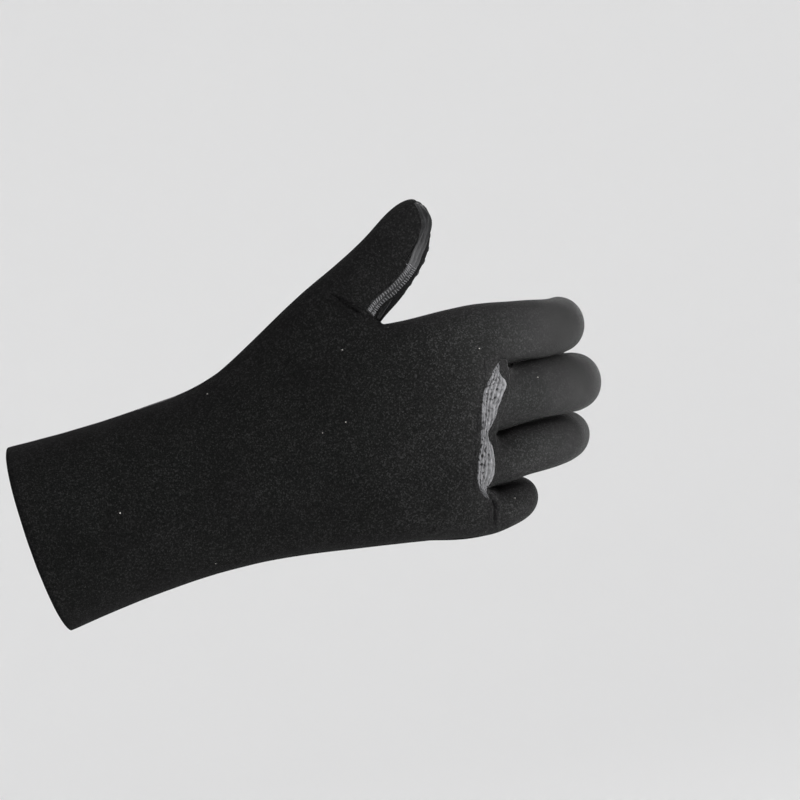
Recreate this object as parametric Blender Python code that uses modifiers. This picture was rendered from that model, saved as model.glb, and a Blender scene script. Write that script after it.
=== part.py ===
"""Right-hand neoprene glove in the filled, half-closed form that a hand gives it.

+X runs from the cuff to the fingers, +Z is the thumb side and the back of the hand faces -Y.
The origin is the middle of the cuff's opening. One soft cage gives the outer form of the whole
glove. It is cut along its seams into panels, and each panel gets its wall towards the inside.
"""

import math

import bmesh
import bpy
from mathutils import Vector

# Outer sizes of the filled glove, in metres
CUFF_WIDTH = 0.0812
CUFF_DEPTH = 0.060
CUFF_LENGTH = 0.070
HAND_LENGTH = 0.125
KNUCKLE_BREADTH = 0.096
PALM_DEPTH = 0.046
FINGER_LENGTH = 0.080
FINGER_DEPTH = 0.0225
THUMB_LENGTH = 0.086
THUMB_WIDTH = 0.027

# Material and seams, in metres
WALL = 0.003
BAND_WALL = 0.0024
BAND_PROUD = 0.0003
SEAM_GAP = 0.0003
FINGER_GAP = 0.0012

# Posture, in degrees
THUMB_SPREAD = 29.0
THUMB_DROP = 10.0

RING_POINTS = 20
FINGER_POINTS = 8
COLUMNS = 9
STRIP_LIMIT = 0.5

# Forearm end: rings of the cuff, from its opening to the wrist
CUFF_SECTIONS = (
    # along/CUFF_LENGTH, width/CUFF_WIDTH, depth/CUFF_DEPTH
    (0.00, 1.000, 1.00),
    (0.30, 0.955, 0.95),
    (0.64, 0.925, 0.90),
    (1.00, 0.935, 0.85),
)

# Hand: rings from the wrist to the roots of the fingers. "low" and "high" are the little-finger
# edge and the thumb edge as shares of KNUCKLE_BREADTH, "tilt" leans a ring in degrees, a
# squareness of 2 is an ellipse, and "fan" goes from 0 for points spread evenly to 1 for points
# that stand on the fingers and between them.
HAND_SECTIONS = (
    # along/HAND_LENGTH, low, high, depth/PALM_DEPTH, sag/PALM_DEPTH, tilt, squareness, fan, arc
    (0.20, -0.422, 0.415, 1.05, 0.02, 0.0, 2.2, 0.15, 0.00),
    (0.46, -0.490, 0.390, 1.02, 0.04, 0.0, 2.7, 0.40, 0.15),
    (0.72, -0.552, 0.385, 0.98, 0.06, 3.0, 2.6, 0.70, 0.45),
)

# Edges of the knuckle band and roots of the fingers, from the index's outer side to the little
# finger's: how far each point stands across, and ahead of its ring, as shares of half the breadth
# and of the whole breadth
KNUCKLE_COLUMNS = (
    # across, band start, finger root
    (0.92, 0.070, 0.120),
    (0.72, 0.105, 0.125),
    (0.44, 0.200, 0.108),
    (0.155, 0.105, 0.100),
    (-0.12, 0.030, -0.065),
    (-0.34, -0.020, -0.035),
    (-0.57, -0.055, -0.150),
    (-0.80, -0.140, -0.150),
    (-0.93, -0.180, -0.170),
)
KNUCKLE_ENDS = (
    # across, band start, finger root
    (1.0, 0.040, 0.120),
    (-1.0, -0.240, -0.170),
)
BAND_SECTION = (0.93, -0.614, 0.368, 0.90, 0.10, 12.0, 2.4, 1.00)
ROOT_SECTION = (1.00, -0.643, 0.347, 0.79, 0.19, 20.0, 2.2, 1.00)

# Fingers from the thumb side on: which side of a finger has no neighbour (1 the thumb side, -1
# the other), length as a share of FINGER_LENGTH, width as a share of KNUCKLE_BREADTH, sideways
# splay and the bends at knuckle, middle joint and end joint in degrees
FINGERS = (
    # first column, outer side, length, width, splay, knuckle, middle, end
    (0, 1.0, 0.95, 0.260, -12.0, 33.5, 34.0, 26.0),
    (2, 0.0, 1.02, 0.271, -8.6, 31.0, 32.0, 24.0),
    (4, 0.0, 0.99, 0.238, -2.0, 28.0, 33.0, 26.0),
    (6, -1.0, 0.78, 0.212, 6.5, 64.0, 34.0, 18.0),
)

# Rings along each finger: where, how wide and deep, how far a side without a neighbour is kept
# out where the ring is narrow, and how much of each bend is reached there
FINGER_SECTIONS = (
    # along, width, depth, kept out, knuckle, middle, end
    (0.13, 0.87, 1.12, 1.0, 0.45, 0.00, 0.00),
    (0.27, 0.96, 1.04, 1.0, 0.85, 0.10, 0.00),
    (0.40, 1.00, 1.00, 0.0, 1.00, 0.55, 0.00),
    (0.53, 0.99, 0.97, 0.0, 1.00, 1.00, 0.10),
    (0.67, 0.97, 0.94, 0.0, 1.00, 1.00, 0.60),
    (0.80, 0.94, 0.91, 0.0, 1.00, 1.00, 1.00),
    (0.92, 0.84, 0.82, 0.0, 1.00, 1.00, 1.00),
    (0.985, 0.50, 0.50, 0.0, 1.00, 1.00, 1.00),
)

# Rings along the thumb: where, how far they swing outwards, how wide and deep as shares of
# THUMB_WIDTH, how far the outer side lags behind the inner one, and the turn in degrees
THUMB_SECTIONS = (
    # along/THUMB_LENGTH, swing, width, depth, lag, turn
    (0.30, 0.06, 1.18, 1.14, 0.75, 22.0),
    (0.46, 0.00, 1.08, 1.04, 0.45, 34.0),
    (0.60, -0.03, 1.03, 0.96, 0.14, 40.0),
    (0.75, -0.02, 0.96, 0.90, 0.00, 42.0),
    (0.88, 0.04, 0.84, 0.80, 0.00, 42.0),
    (0.965, 0.09, 0.45, 0.46, 0.00, 42.0),
)

BACK, PALM, MIDDLE, RING, BAND, STRIP = range(6)

# Panels: node name, wall, how far it stands proud of its neighbours, its share of the seam's gap
# and its material
PANELS = {
    BACK: ("back_panel", WALL, 0.0, 0.5, "jersey_neoprene"),
    PALM: ("palm_panel", WALL, 0.0, 0.5, "palm_neoprene"),
    MIDDLE: ("middle_finger_back", WALL, 0.0, 0.5, "jersey_neoprene"),
    RING: ("ring_finger_back", WALL, 0.0, 0.5, "jersey_neoprene"),
    BAND: ("knuckle_band", BAND_WALL, BAND_PROUD, 1.0, "band_rubber"),
    STRIP: ("thumb_strip", WALL, 0.0, 0.5, "seam_strip"),
}
MATERIALS = {
    # name: colour (linear), roughness
    "jersey_neoprene": ((0.014, 0.014, 0.014), 0.85),
    "palm_neoprene": ((0.009, 0.009, 0.010), 0.60),
    "band_rubber": ((0.145, 0.145, 0.145), 0.55),
    "seam_strip": ((0.045, 0.045, 0.046), 0.60),
}


def mixed(first, second, share):
    return first + (second - first) * share


def cage_factor(points):
    """How much larger a ring of the cage is than the round that its smoothing leaves."""
    return 6.0 / (4.0 + 2.0 * math.cos(2.0 * math.pi / points))


def even_across(column):
    return math.cos(2.0 * math.pi * (column + 1) / RING_POINTS)


def hand_ring(x, low, high, depth, sag, tilt, square, fan, ahead):
    """Points of a ring round cuff or hand: outer side of the index, back, little side, palm.

    ahead gives for each column, and for the two ends, how far it stands in front of x.
    """
    factor = cage_factor(RING_POINTS)
    middle = 0.5 * (low + high)
    half = 0.5 * (high - low) * factor
    lean = math.radians(tilt)
    back, palm = [], []
    for column in range(COLUMNS):
        across = mixed(even_across(column), KNUCKLE_COLUMNS[column][0], fan)
        rise = 0.5 * depth * factor * (1.0 - abs(across) ** square) ** (1.0 / square)
        for side, points in ((1.0, back), (-1.0, palm)):
            points.append(
                Vector(
                    (
                        x + ahead[column] + side * rise * math.sin(lean),
                        sag - side * rise * math.cos(lean),
                        middle + half * across,
                    )
                )
            )
    start = Vector((x + ahead[COLUMNS], sag, middle + half))
    end = Vector((x + ahead[COLUMNS + 1], sag, middle - half))
    return [start] + back + [end] + palm[::-1]


def ahead_of(column_value, share=1.0):
    """Offsets along X of the columns and of both ends, from one column of the knuckle tables."""
    rows = KNUCKLE_COLUMNS + KNUCKLE_ENDS
    return [share * row[column_value] * KNUCKLE_BREADTH for row in rows]


def all_hand_rings():
    level = [0.0] * (COLUMNS + 2)
    rings = []
    for along, width, depth in CUFF_SECTIONS:
        x, half, full = along * CUFF_LENGTH, 0.5 * width * CUFF_WIDTH, depth * CUFF_DEPTH
        rings.append(hand_ring(x, -half, half, full, 0.0, 0.0, 2.0, 0.0, level))
    for *section, arc in HAND_SECTIONS:
        rings.append(scaled_hand_ring(*section, ahead_of(1, arc)))
    rings.append(scaled_hand_ring(*BAND_SECTION, ahead_of(1)))
    rings.append(scaled_hand_ring(*ROOT_SECTION, ahead_of(2)))
    return rings


def scaled_hand_ring(along, low, high, depth, sag, tilt, square, fan, ahead):
    return hand_ring(
        CUFF_LENGTH + along * HAND_LENGTH,
        low * KNUCKLE_BREADTH,
        high * KNUCKLE_BREADTH,
        depth * PALM_DEPTH,
        sag * PALM_DEPTH,
        tilt,
        square,
        fan,
        ahead,
    )


def extrude_ring(bm, ring, places, panels):
    """Adds one row of faces from a closed ring to the given places, each face with its panel."""
    count = len(ring)
    edges = [bm.edges.get((ring[i], ring[(i + 1) % count])) for i in range(count)]
    grown = bmesh.ops.extrude_edge_only(bm, edges=edges)["geom"]
    copies = {tuple(v.co): v for v in grown if isinstance(v, bmesh.types.BMVert)}
    new_ring = [copies[tuple(v.co)] for v in ring]
    faces = [f for f in grown if isinstance(f, bmesh.types.BMFace)]
    for i in range(count):
        pair = {ring[i], ring[(i + 1) % count]}
        for face in faces:
            if pair <= set(face.verts):
                face.material_index = panels[i]
    for vert, place in zip(new_ring, places):
        vert.co = place
    return new_ring


def cap(bm, ring, back_panel, palm_panel):
    """Closes a fingertip with a back half and a palm half, which meet on the line of the seam."""
    count = len(ring)
    edges = [bm.edges.get((ring[i], ring[(i + 1) % count])) for i in range(count)]
    bmesh.ops.edgeloop_fill(bm, edges=edges)
    ends = [ring[0], ring[count // 2]]
    bmesh.ops.connect_verts(bm, verts=ends)
    seam = bm.edges.get(ends)
    for face in seam.link_faces:
        face.material_index = back_panel if ring[1] in face.verts else palm_panel


def finger_root(rings, webs, column):
    """The ring of eight points on which a finger stands, from its thumb side round its back."""
    back = rings[1 : COLUMNS + 1]
    palm = rings[COLUMNS + 2 :][::-1]
    high = webs.get(column, rings[0])
    low = webs.get(column + 2, rings[COLUMNS + 1])
    return [high, *back[column : column + 3], low, *palm[column : column + 3][::-1]]


def middle_of(ring):
    return sum((v.co for v in ring), Vector()) / len(ring)


def round_places(centre, side, back, width, depth):
    places = []
    for i in range(FINGER_POINTS):
        angle = 2.0 * math.pi * i / FINGER_POINTS
        places.append(centre + side * (0.5 * width * math.cos(angle)) + back * (0.5 * depth * math.sin(angle)))
    return places


def grow_finger(bm, root, row, back_panel):
    """Extrudes one finger along a centre line that bends towards the palm at three joints."""
    _, outer, length, width, splay, *bends = row
    factor = cage_factor(FINGER_POINTS)
    splay = math.radians(splay)
    ahead = Vector((math.cos(splay), 0.0, math.sin(splay)))
    side = Vector((-math.sin(splay), 0.0, math.cos(splay)))
    palmwards = Vector((0.0, 1.0, 0.0))
    full_width = (width * KNUCKLE_BREADTH - FINGER_GAP) * factor
    panels = [back_panel] * 4 + [PALM] * 4
    centre = middle_of(root)
    ring, reached = root, 0.0
    for along, wide, deep, kept, *shares in FINGER_SECTIONS:
        bend = math.radians(sum(share * full for share, full in zip(shares, bends)))
        heading = ahead * math.cos(bend) + palmwards * math.sin(bend)
        back = ahead * math.sin(bend) - palmwards * math.cos(bend)
        centre = centre + heading * ((along - reached) * length * FINGER_LENGTH)
        aside = side * (outer * kept * (1.0 - wide) * 0.5 * full_width)
        depth = deep * FINGER_DEPTH * factor
        places = round_places(centre + aside, side, back, wide * full_width, depth)
        ring = extrude_ring(bm, ring, places, panels)
        reached = along
    cap(bm, ring, back_panel, PALM)


def grow_thumb(bm, root, strip):
    """Extrudes the thumb, which turns its inner side to the back of the hand as it goes."""
    factor = cage_factor(FINGER_POINTS)
    spread, drop = math.radians(THUMB_SPREAD), math.radians(THUMB_DROP)
    heading = Vector(
        (math.cos(spread) * math.cos(drop), math.sin(drop), math.sin(spread) * math.cos(drop))
    )
    outer = Vector((-math.sin(spread), 0.0, math.cos(spread)))
    back = heading.cross(outer)
    panels = [BACK] * 4 + [PALM] * 4
    start = middle_of(root)
    ring = root
    strip_verts = [root[0]]
    for along, swing, wide, deep, lag, turn in THUMB_SECTIONS:
        turn = math.radians(turn)
        side = outer * math.cos(turn) - back * math.sin(turn) - heading * lag
        up = back * math.cos(turn) + outer * math.sin(turn)
        centre = start + heading * (along * THUMB_LENGTH) + outer * (swing * THUMB_WIDTH)
        width, depth = wide * THUMB_WIDTH * factor, deep * THUMB_WIDTH * factor
        ring = extrude_ring(bm, ring, round_places(centre, side, up, width, depth), panels)
        strip_verts += [ring[0], ring[FINGER_POINTS // 2]]
    cap(bm, ring, BACK, PALM)
    for vert in strip_verts:
        vert[strip] = 1.0


def build_cage():
    """The coarse outer form of the whole glove, each face marked with its panel."""
    bm = bmesh.new()
    strip = bm.verts.layers.float.new("strip")
    places = all_hand_rings()
    bmesh.ops.create_circle(bm, segments=RING_POINTS, radius=CUFF_WIDTH)
    bm.verts.ensure_lookup_table()
    ring = list(bm.verts)
    for vert, place in zip(ring, places[0]):
        vert.co = place
    rings = [ring]
    for index, row in enumerate(places[1:], start=1):
        panels = [BACK] * (COLUMNS + 1) + [PALM] * (COLUMNS + 1)
        if index == len(places) - 1:
            panels[3:7] = [BAND] * 4
        ring = extrude_ring(bm, ring, row, panels)
        rings.append(ring)

    wrist = len(CUFF_SECTIONS) - 1
    rings[wrist][0][strip] = 1.0
    first, last = rings[wrist + 1], rings[wrist + 3]
    centre = rings[wrist + 2]
    root = [first[0], first[1], centre[1], last[1], last[0], last[-1], centre[-1], first[-1]]
    bmesh.ops.delete(bm, geom=[centre[0]], context="VERTS")
    grow_thumb(bm, root, strip)

    webs = {}
    back = ring[1 : COLUMNS + 1]
    palm = ring[COLUMNS + 2 :][::-1]
    for row in FINGERS[1:]:
        column = row[0]
        between = (back[column].co + palm[column].co) / 2.0
        web = bmesh.ops.create_vert(bm, co=between)["vert"][0]
        bm.edges.new((back[column], web))
        bm.edges.new((web, palm[column]))
        webs[column] = web
    for row, back_panel in zip(FINGERS, (BACK, MIDDLE, RING, BACK)):
        grow_finger(bm, finger_root(ring, webs, row[0]), row, back_panel)
    bmesh.ops.recalc_face_normals(bm, faces=bm.faces[:])
    return bm


def smoothed(bm, guides):
    """The cage, kept as a guide object, and the mesh that its subdivision gives."""
    mesh = bpy.data.meshes.new("glove_cage")
    bm.to_mesh(mesh)
    bm.free()
    cage = bpy.data.objects.new("glove_cage", mesh)
    guides.objects.link(cage)
    modifier = cage.modifiers.new("smooth", "SUBSURF")
    modifier.levels = 1
    modifier.render_levels = 1
    modifier.use_limit_surface = False
    bpy.context.view_layer.update()
    graph = bpy.context.evaluated_depsgraph_get()
    return bpy.data.meshes.new_from_object(cage.evaluated_get(graph))


def mitre(vert, out):
    """The way in from a panel's border at this point, square to the seam and to the wall."""
    inward = []
    for edge in vert.link_edges:
        if not edge.is_boundary:
            continue
        loop = edge.link_loops[0]
        along = loop.link_loop_next.vert.co - loop.vert.co
        inward.append(out.cross(along).normalized())
    if len(inward) != 2:
        raise ValueError("a panel's border crosses itself")
    return (inward[0] + inward[1]) / (1.0 + inward[0].dot(inward[1]))


def split_edges_of_wall(bm, outside, order):
    """Cuts each face on a panel's edge the same way as its neighbour's, so that none cross."""
    for face in bm.faces[:]:
        outer = [v for v in face.verts if v in outside]
        if len(outer) != 2:
            continue
        first = min(outer, key=lambda v: v[order])
        corners = list(face.verts)
        opposite = corners[(corners.index(first) + 2) % len(corners)]
        bmesh.utils.face_split(face, first, opposite)


def panel_mesh(whole, panel):
    """One panel as a closed solid: its outer faces, drawn back from the seams, and a wall."""
    name, wall, proud, drawn, _ = PANELS[panel]
    bm = bmesh.new()
    bm.from_mesh(whole)
    inward = bm.verts.layers.float_vector.new("inward")
    order = bm.verts.layers.int.new("order")
    strip = bm.verts.layers.float["strip"]
    bm.normal_update()
    for index, vert in enumerate(bm.verts):
        vert[inward] = -vert.normal
        vert[order] = index
    for face in bm.faces:
        weight = sum(v[strip] for v in face.verts) / len(face.verts)
        if face.material_index == BACK and weight > STRIP_LIMIT:
            face.material_index = STRIP
    others = [f for f in bm.faces if f.material_index != panel]
    bmesh.ops.delete(bm, geom=others, context="FACES")
    moves = {v: mitre(v, -v[inward]) * (drawn * SEAM_GAP) for v in bm.verts if v.is_boundary}
    for vert in bm.verts:
        vert.co += moves.get(vert, Vector()) - vert[inward] * proud
    outside = set(bm.verts)
    bmesh.ops.extrude_face_region(bm, geom=bm.faces[:], use_keep_orig=True)
    for vert in bm.verts:
        if vert not in outside:
            vert.co += vert[inward] * wall
    split_edges_of_wall(bm, outside, order)
    for face in bm.faces:
        face.material_index = 0
        face.smooth = True
    bmesh.ops.recalc_face_normals(bm, faces=bm.faces[:])
    mesh = bpy.data.meshes.new(name)
    bm.to_mesh(mesh)
    bm.free()
    return mesh


def make_material(name):
    colour, roughness = MATERIALS[name]
    material = bpy.data.materials.new(name)
    material.use_nodes = True
    shader = material.node_tree.nodes["Principled BSDF"]
    shader.inputs["Base Color"].default_value = (*colour, 1.0)
    shader.inputs["Roughness"].default_value = roughness
    return material


def clear_scene():
    for obj in list(bpy.data.objects):
        bpy.data.objects.remove(obj, do_unlink=True)


def main():
    clear_scene()
    parts = bpy.data.collections.new("neoprene_glove")
    guides = bpy.data.collections.new("guides")
    for collection in (parts, guides):
        bpy.context.scene.collection.children.link(collection)
    whole = smoothed(build_cage(), guides)
    for guide in guides.objects:
        guide.hide_render = True
        guide.display_type = "WIRE"
    materials = {name: make_material(name) for name in MATERIALS}
    for panel, (name, _, _, _, material) in PANELS.items():
        part = bpy.data.objects.new(name, panel_mesh(whole, panel))
        part.data.materials.append(materials[material])
        parts.objects.link(part)
    bpy.data.meshes.remove(whole)


main()
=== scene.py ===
"""Looks of a right-hand neoprene glove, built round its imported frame.

The glove is 3 mm foam rubber with a knitted nylon face. A rubber band crosses the knuckles, a
rubber strip covers the thumb's seam, and the palm side carries printed silicone rings.
+X runs from the cuff to the fingers, +Z is the thumb side, the back of the hand faces -Y.
"""

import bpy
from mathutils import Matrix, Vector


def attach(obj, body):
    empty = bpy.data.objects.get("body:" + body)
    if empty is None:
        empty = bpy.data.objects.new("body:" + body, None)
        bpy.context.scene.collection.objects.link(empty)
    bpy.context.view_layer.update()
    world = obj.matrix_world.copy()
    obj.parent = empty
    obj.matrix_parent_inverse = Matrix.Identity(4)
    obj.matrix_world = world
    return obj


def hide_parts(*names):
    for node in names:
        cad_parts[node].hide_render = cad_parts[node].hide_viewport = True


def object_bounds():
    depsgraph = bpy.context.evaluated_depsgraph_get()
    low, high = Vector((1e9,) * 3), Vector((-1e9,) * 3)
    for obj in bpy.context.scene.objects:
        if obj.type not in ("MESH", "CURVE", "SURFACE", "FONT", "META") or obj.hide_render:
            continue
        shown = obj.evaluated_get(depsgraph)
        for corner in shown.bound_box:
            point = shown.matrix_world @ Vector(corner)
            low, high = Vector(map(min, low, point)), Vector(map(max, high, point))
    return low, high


bl_info = {
    "name": "Neoprene Glove",
    "version": (1, 0, 0),
    "blender": (4, 5, 0),
    "location": "View3D > Sidebar > Glove",
    "description": "Builds a neoprene glove's panels, knuckle band, thumb strip, stitches and grip",
    "category": "Object",
}

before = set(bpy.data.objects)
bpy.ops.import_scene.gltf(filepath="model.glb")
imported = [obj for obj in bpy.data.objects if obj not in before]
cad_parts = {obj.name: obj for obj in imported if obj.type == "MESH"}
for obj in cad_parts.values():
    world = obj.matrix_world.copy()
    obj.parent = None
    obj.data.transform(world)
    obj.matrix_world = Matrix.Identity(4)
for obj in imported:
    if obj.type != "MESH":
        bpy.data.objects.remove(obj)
CAD_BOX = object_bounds()

import itertools
import math

import bmesh
import bpy
from mathutils import Matrix, Vector, noise
from mathutils.bvhtree import BVHTree

MM = 0.001
MERGE = 0.00001
PHOTO_SIDE = 800
SENSOR_WIDTH = 36.0

# The angle past which an edge of a panel is its rim, and how far smoothing leaves that sharp
SHARP = math.radians(50.0)
RIM_CREASE = 0.55

# The outer sheet of a panel is marked 1 and its inside 0, so more than this is outside
OUTSIDE = 0.5

# The cuff's cut edge faces away from the fingers, at least by this, and lies this near the opening
CUT_FACING = -0.8
CUT_DEPTH = 1.5 * MM

# Folds pressed into the panels: where the photograph shows each of them to start and to end, in
# its pixels, and its half width, its depth and its soft lips in millimetres
FOLDS = {
    # start u, start v, end u, end v, half width, depth, lip
    "back_panel": (
        (331.0, 295.0, 364.0, 315.5, 0.80, 1.60, 0.40),
        (337.0, 297.0, 365.0, 310.0, 0.55, 0.80, 0.20),
        (325.0, 303.0, 348.0, 312.0, 1.40, 0.35, 0.15),
        (489.5, 494.0, 496.0, 507.0, 0.75, 1.30, 0.40),
        (495.0, 500.0, 494.5, 526.0, 0.75, 1.30, 0.50),
        (424.0, 532.0, 436.0, 528.0, 0.90, 0.80, 0.30),
    ),
    "middle_finger_back": (
        (498.5, 366.0, 513.0, 366.0, 1.10, 1.50, 0.20),
    ),
}

# Folds are pressed only from here on along the glove, where a panel faces the back or a side
FOLDS_FROM = 0.12
FOLD_FACING = 0.3

# Edges near a fold are split in three rounds, within so many half widths and this share past its
# ends, down to a shortest edge
FOLD_ROUNDS = (4.0, 3.0, 2.4)
FOLD_MARGIN = 0.2
FOLD_GRAIN = 0.32 * MM

# How far from its middle a fold fades out, in half lengths, where its lips lie, in half widths,
# and how high its left lip is, seen from its start, as a share of its right one
FOLD_FADE = 1.2
LIP_PLACE = 2.0
LEFT_LIP = 0.8

# Places where the filled foam stands fuller than the solids, or slacker, in millimetres, and the
# way it goes there, in degrees from the fingers' direction towards the thumb's
SWELLS = (
    # x, y, z, way, reach, how much
    (212.0, 8.0, 5.0, -90.0, 8.0, 3.8),
    (222.0, 14.0, 5.0, -90.0, 8.0, 2.4),
    (231.0, 23.0, 6.0, -90.0, 9.0, 1.4),
    (236.0, 25.0, 24.0, 90.0, 14.0, -1.0),
    (211.0, 10.0, 1.5, 90.0, 8.0, 1.2),
    (221.0, 15.0, 1.5, 90.0, 9.0, 1.4),
    (231.0, 24.0, 0.0, 90.0, 9.0, 1.4),
    (226.0, 24.0, -22.0, -90.0, 12.0, -0.8),
    (204.0, 9.0, -19.0, -90.0, 9.0, 1.2),
    (202.0, 10.0, -23.0, 90.0, 9.0, 1.4),
    (227.0, 24.0, -30.0, 0.0, 12.0, 1.6),
    (196.0, 10.0, -43.0, -90.0, 6.0, 0.8),
    (190.0, 11.0, -45.0, 90.0, 6.0, 0.8),
    (197.0, 16.0, -50.0, 0.0, 9.0, 0.8),
    (166.0, 5.0, -59.0, -90.0, 16.0, -1.7),
    (182.0, 12.0, 80.0, 119.0, 9.0, 0.5),
    (200.0, 18.0, 72.0, -19.0, 12.0, -2.9),
    (196.0, 22.0, 66.0, -19.0, 12.0, -1.0),
    (172.0, 8.0, 47.0, -61.0, 12.0, 1.2),
    (84.0, 0.0, 38.0, 90.0, 18.0, -1.0),
)
# How many times its reach a swell goes on
SWELL_END = 2.5

# What smoothing takes off the foam all over, in millimetres, and the slight unevenness of the
# fabric: its height, and its waves per metre with their shares
EVEN_SWELL = 0.25
UNEVENNESS = 0.12 * MM
UNEVEN_WAVES = ((55.0, 1.0), (140.0, 0.5))

# Edges of the rubber over the knuckles, in pixels of the photograph from its top to its tail
BAND_EDGES = (
    # left u, left v, right u, right v
    (497.6, 361.0, 499.8, 361.5),
    (492.2, 371.0, 500.0, 373.0),
    (487.6, 380.5, 507.0, 383.5),
    (484.0, 390.0, 504.2, 393.5),
    (481.8, 400.0, 499.2, 406.5),
    (481.5, 417.0, 495.2, 420.0),
    (480.7, 432.5, 488.6, 433.5),
    (479.6, 446.0, 493.4, 447.0),
    (477.4, 460.0, 495.2, 460.5),
    (476.4, 474.0, 494.6, 474.5),
    (477.2, 485.0, 488.4, 486.5),
    (481.0, 493.0, 487.4, 491.5),
    (487.0, 500.0, 489.6, 498.0),
)

# Edges of the jersey that runs over the seam behind the band, in the same way
PATCH_EDGES = (
    # left u, left v, right u, right v
    (480.0, 351.0, 500.0, 353.0),
    (479.0, 366.0, 509.0, 371.0),
    (476.0, 390.0, 513.0, 393.0),
    (472.5, 415.0, 505.0, 417.0),
    (470.5, 440.0, 495.0, 441.0),
    (469.5, 465.0, 503.0, 466.0),
    (468.5, 492.0, 493.0, 492.0),
)

# Back edge of the rubber on the thumb's seam, in pixels of the photograph from the tip down to the
# crotch, with its width and its paleness there
STRIP_EDGE = (
    # u, v, width in millimetres, how pale
    (412.0, 202.0, 7.0, 0.00),
    (418.0, 211.0, 8.4, 0.00),
    (420.3, 222.0, 8.6, 0.02),
    (418.8, 236.0, 8.0, 0.08),
    (413.5, 250.0, 7.4, 0.45),
    (407.5, 262.5, 6.8, 0.90),
    (400.5, 273.0, 6.0, 0.12),
    (388.5, 286.0, 5.6, 0.00),
    (374.0, 298.5, 5.2, 0.02),
    (365.0, 311.0, 5.0, 0.00),
)
# Shares of the strip's length over which its directions are averaged
STRIP_STEPS = (-0.08, -0.04, 0.0, 0.04, 0.08)

# The part of the strip with stitches, and the soft lines on the part without: their places across
# it and their half width
STITCHED_FROM = 0.56
STITCHED_TO = 0.985
STRIP_LINES = (0.22, 0.5, 0.78)
STRIP_LINE_WIDTH = 0.38 * MM

# The rungs of the stitches: where each row starts and ends across the strip, and how it leans
STITCH_ROWS = ((0.06, 0.44, 0.35), (0.56, 0.94, -0.35))
STITCH_SAMPLES = 60
RUNG_POINTS = 6

# The thumb's radius under the strip, and how far outside it the search for its surface starts
THUMB_RADIUS = 13.0 * MM
LOOK_FROM = 2.0 * MM

# Films of rubber and jersey: thickness, rounds of smoothing, and columns and rows of their grids
FILM_THICKNESS = 0.3 * MM
FILM_ROUNDS = 6
STRIP_EDGE_ROUNDS = 8
BAND_GRID = (48, 150)
PATCH_GRID = (24, 90)
STRIP_GRID = (30, 120)

# What one pixel of the photograph covers at the glove, in metres
PHOTO_PIXEL = 0.424 * MM

# Centre lines of the fingers from the index to the little one, in millimetres
GRIP_LINES = (
    # width, rings across, points from root to tip
    (22.6, 3, ((200, 7, 19), (215, 11, 18), (229, 25, 15), (233, 45, 14), (231, 68, 14))),
    (23.0, 3, ((196, 7, -6), (209, 11, -8), (225, 25, -10), (231, 46, -11), (232, 71, -11))),
    (20.5, 3, ((184, 8, -31), (196, 11, -31), (213, 24, -32), (219, 44, -32), (219, 68, -32))),
    (18.0, 2, ((180, 8, -50), (187, 13, -51), (192, 28, -50), (187, 44, -51), (178, 61, -52))),
)

# Breadth and centre line of the thumb, in millimetres
THUMB_BREADTH = 24.0
THUMB_LINE = (
    # point, palm side's direction
    ((150, 6, 51), (0.04, 0.91, -0.41)),
    ((163, 9, 56), (0.15, 0.82, -0.56)),
    ((174, 11, 61), (0.20, 0.75, -0.63)),
    ((185, 13, 67), (0.21, 0.73, -0.65)),
    ((199, 16, 79), (0.21, 0.73, -0.65)),
)

# Degrees round a finger at which rings stand in its even and in its odd rows, for so many across
RING_ANGLES = {2: ((20.0,), (-20.0,)), 3: ((-34.0, 34.0), (0.0,))}

# Finger rings are looked for along rays from outside, from this share of a finger's width off its
# middle. They stand where the surface is near enough and faces the ray, this many diameters apart
RAY_START = 0.85
RAY_REACH = 0.014
RING_FACING = -0.66
RING_CLEAR = 1.08
FINGER_RING_SIDES = 12

# The palm's rings stand on a turned grid with one ring at its middle, in metres along and across
# the hand, where the palm faces away from the back and isn't too deep
PALM_GRID_TURN = math.radians(24.0)
PALM_GRID_MIDDLE = (0.13, -0.004)
PALM_GRID_REACH = 24
PALM_RINGS_FROM = 0.082
PALM_RINGS_TO = 0.196
PALM_RAY_START = 0.1
PALM_FACING = 0.56
PALM_DEEPEST = 0.04
PALM_RING_SIDES = 16

# Rings keep this share of their diameter from the seams. One with no more than three seats within
# this number of pitches, itself included, is left out
PALM_SEAM_SHARE = 0.6
PALM_NEAR = 1.3
PALM_FEWEST = 3

# Section of a printed ring: half widths from its middle and heights above the fabric
RING_SECTION = ((1.0, -0.7), (0.86, 0.55), (0.0, 1.0), (-0.86, 0.55), (-1.0, -0.7))

# The backdrop, a floor that curves up into a wall: its section in metres from its middle, how far
# below the glove it lies and how much it glows, and then the light of the room
SWEEP = ((0.0, 0.0), (1.6, 0.0), (2.3, 0.08), (2.9, 0.4), (3.2, 1.0), (3.3, 1.8), (3.3, 4.2))
SWEEP_STEPS = 48
FLOOR_DROP = 0.5
PAPER_GLOW = 0.08
ROOM_LIGHT = "#f2f2f3"
ROOM_STRENGTH = 0.72

LAMPS = (
    # name, place from the glove's middle, diameter, power
    ("top_softbox", (0.04, -0.40, 1.20), 0.9, 24.0),
    ("front_fill", (-0.3, -1.7, 0.2), 1.3, 2.0),
    ("finger_side_softbox", (0.78, -0.55, -0.15), 0.7, 6.0),
    ("palm_softbox", (0.5, 1.5, 0.9), 1.0, 9.0),
    ("low_bounce", (0.25, -0.4, -0.45), 0.9, 15.0),
)


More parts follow.
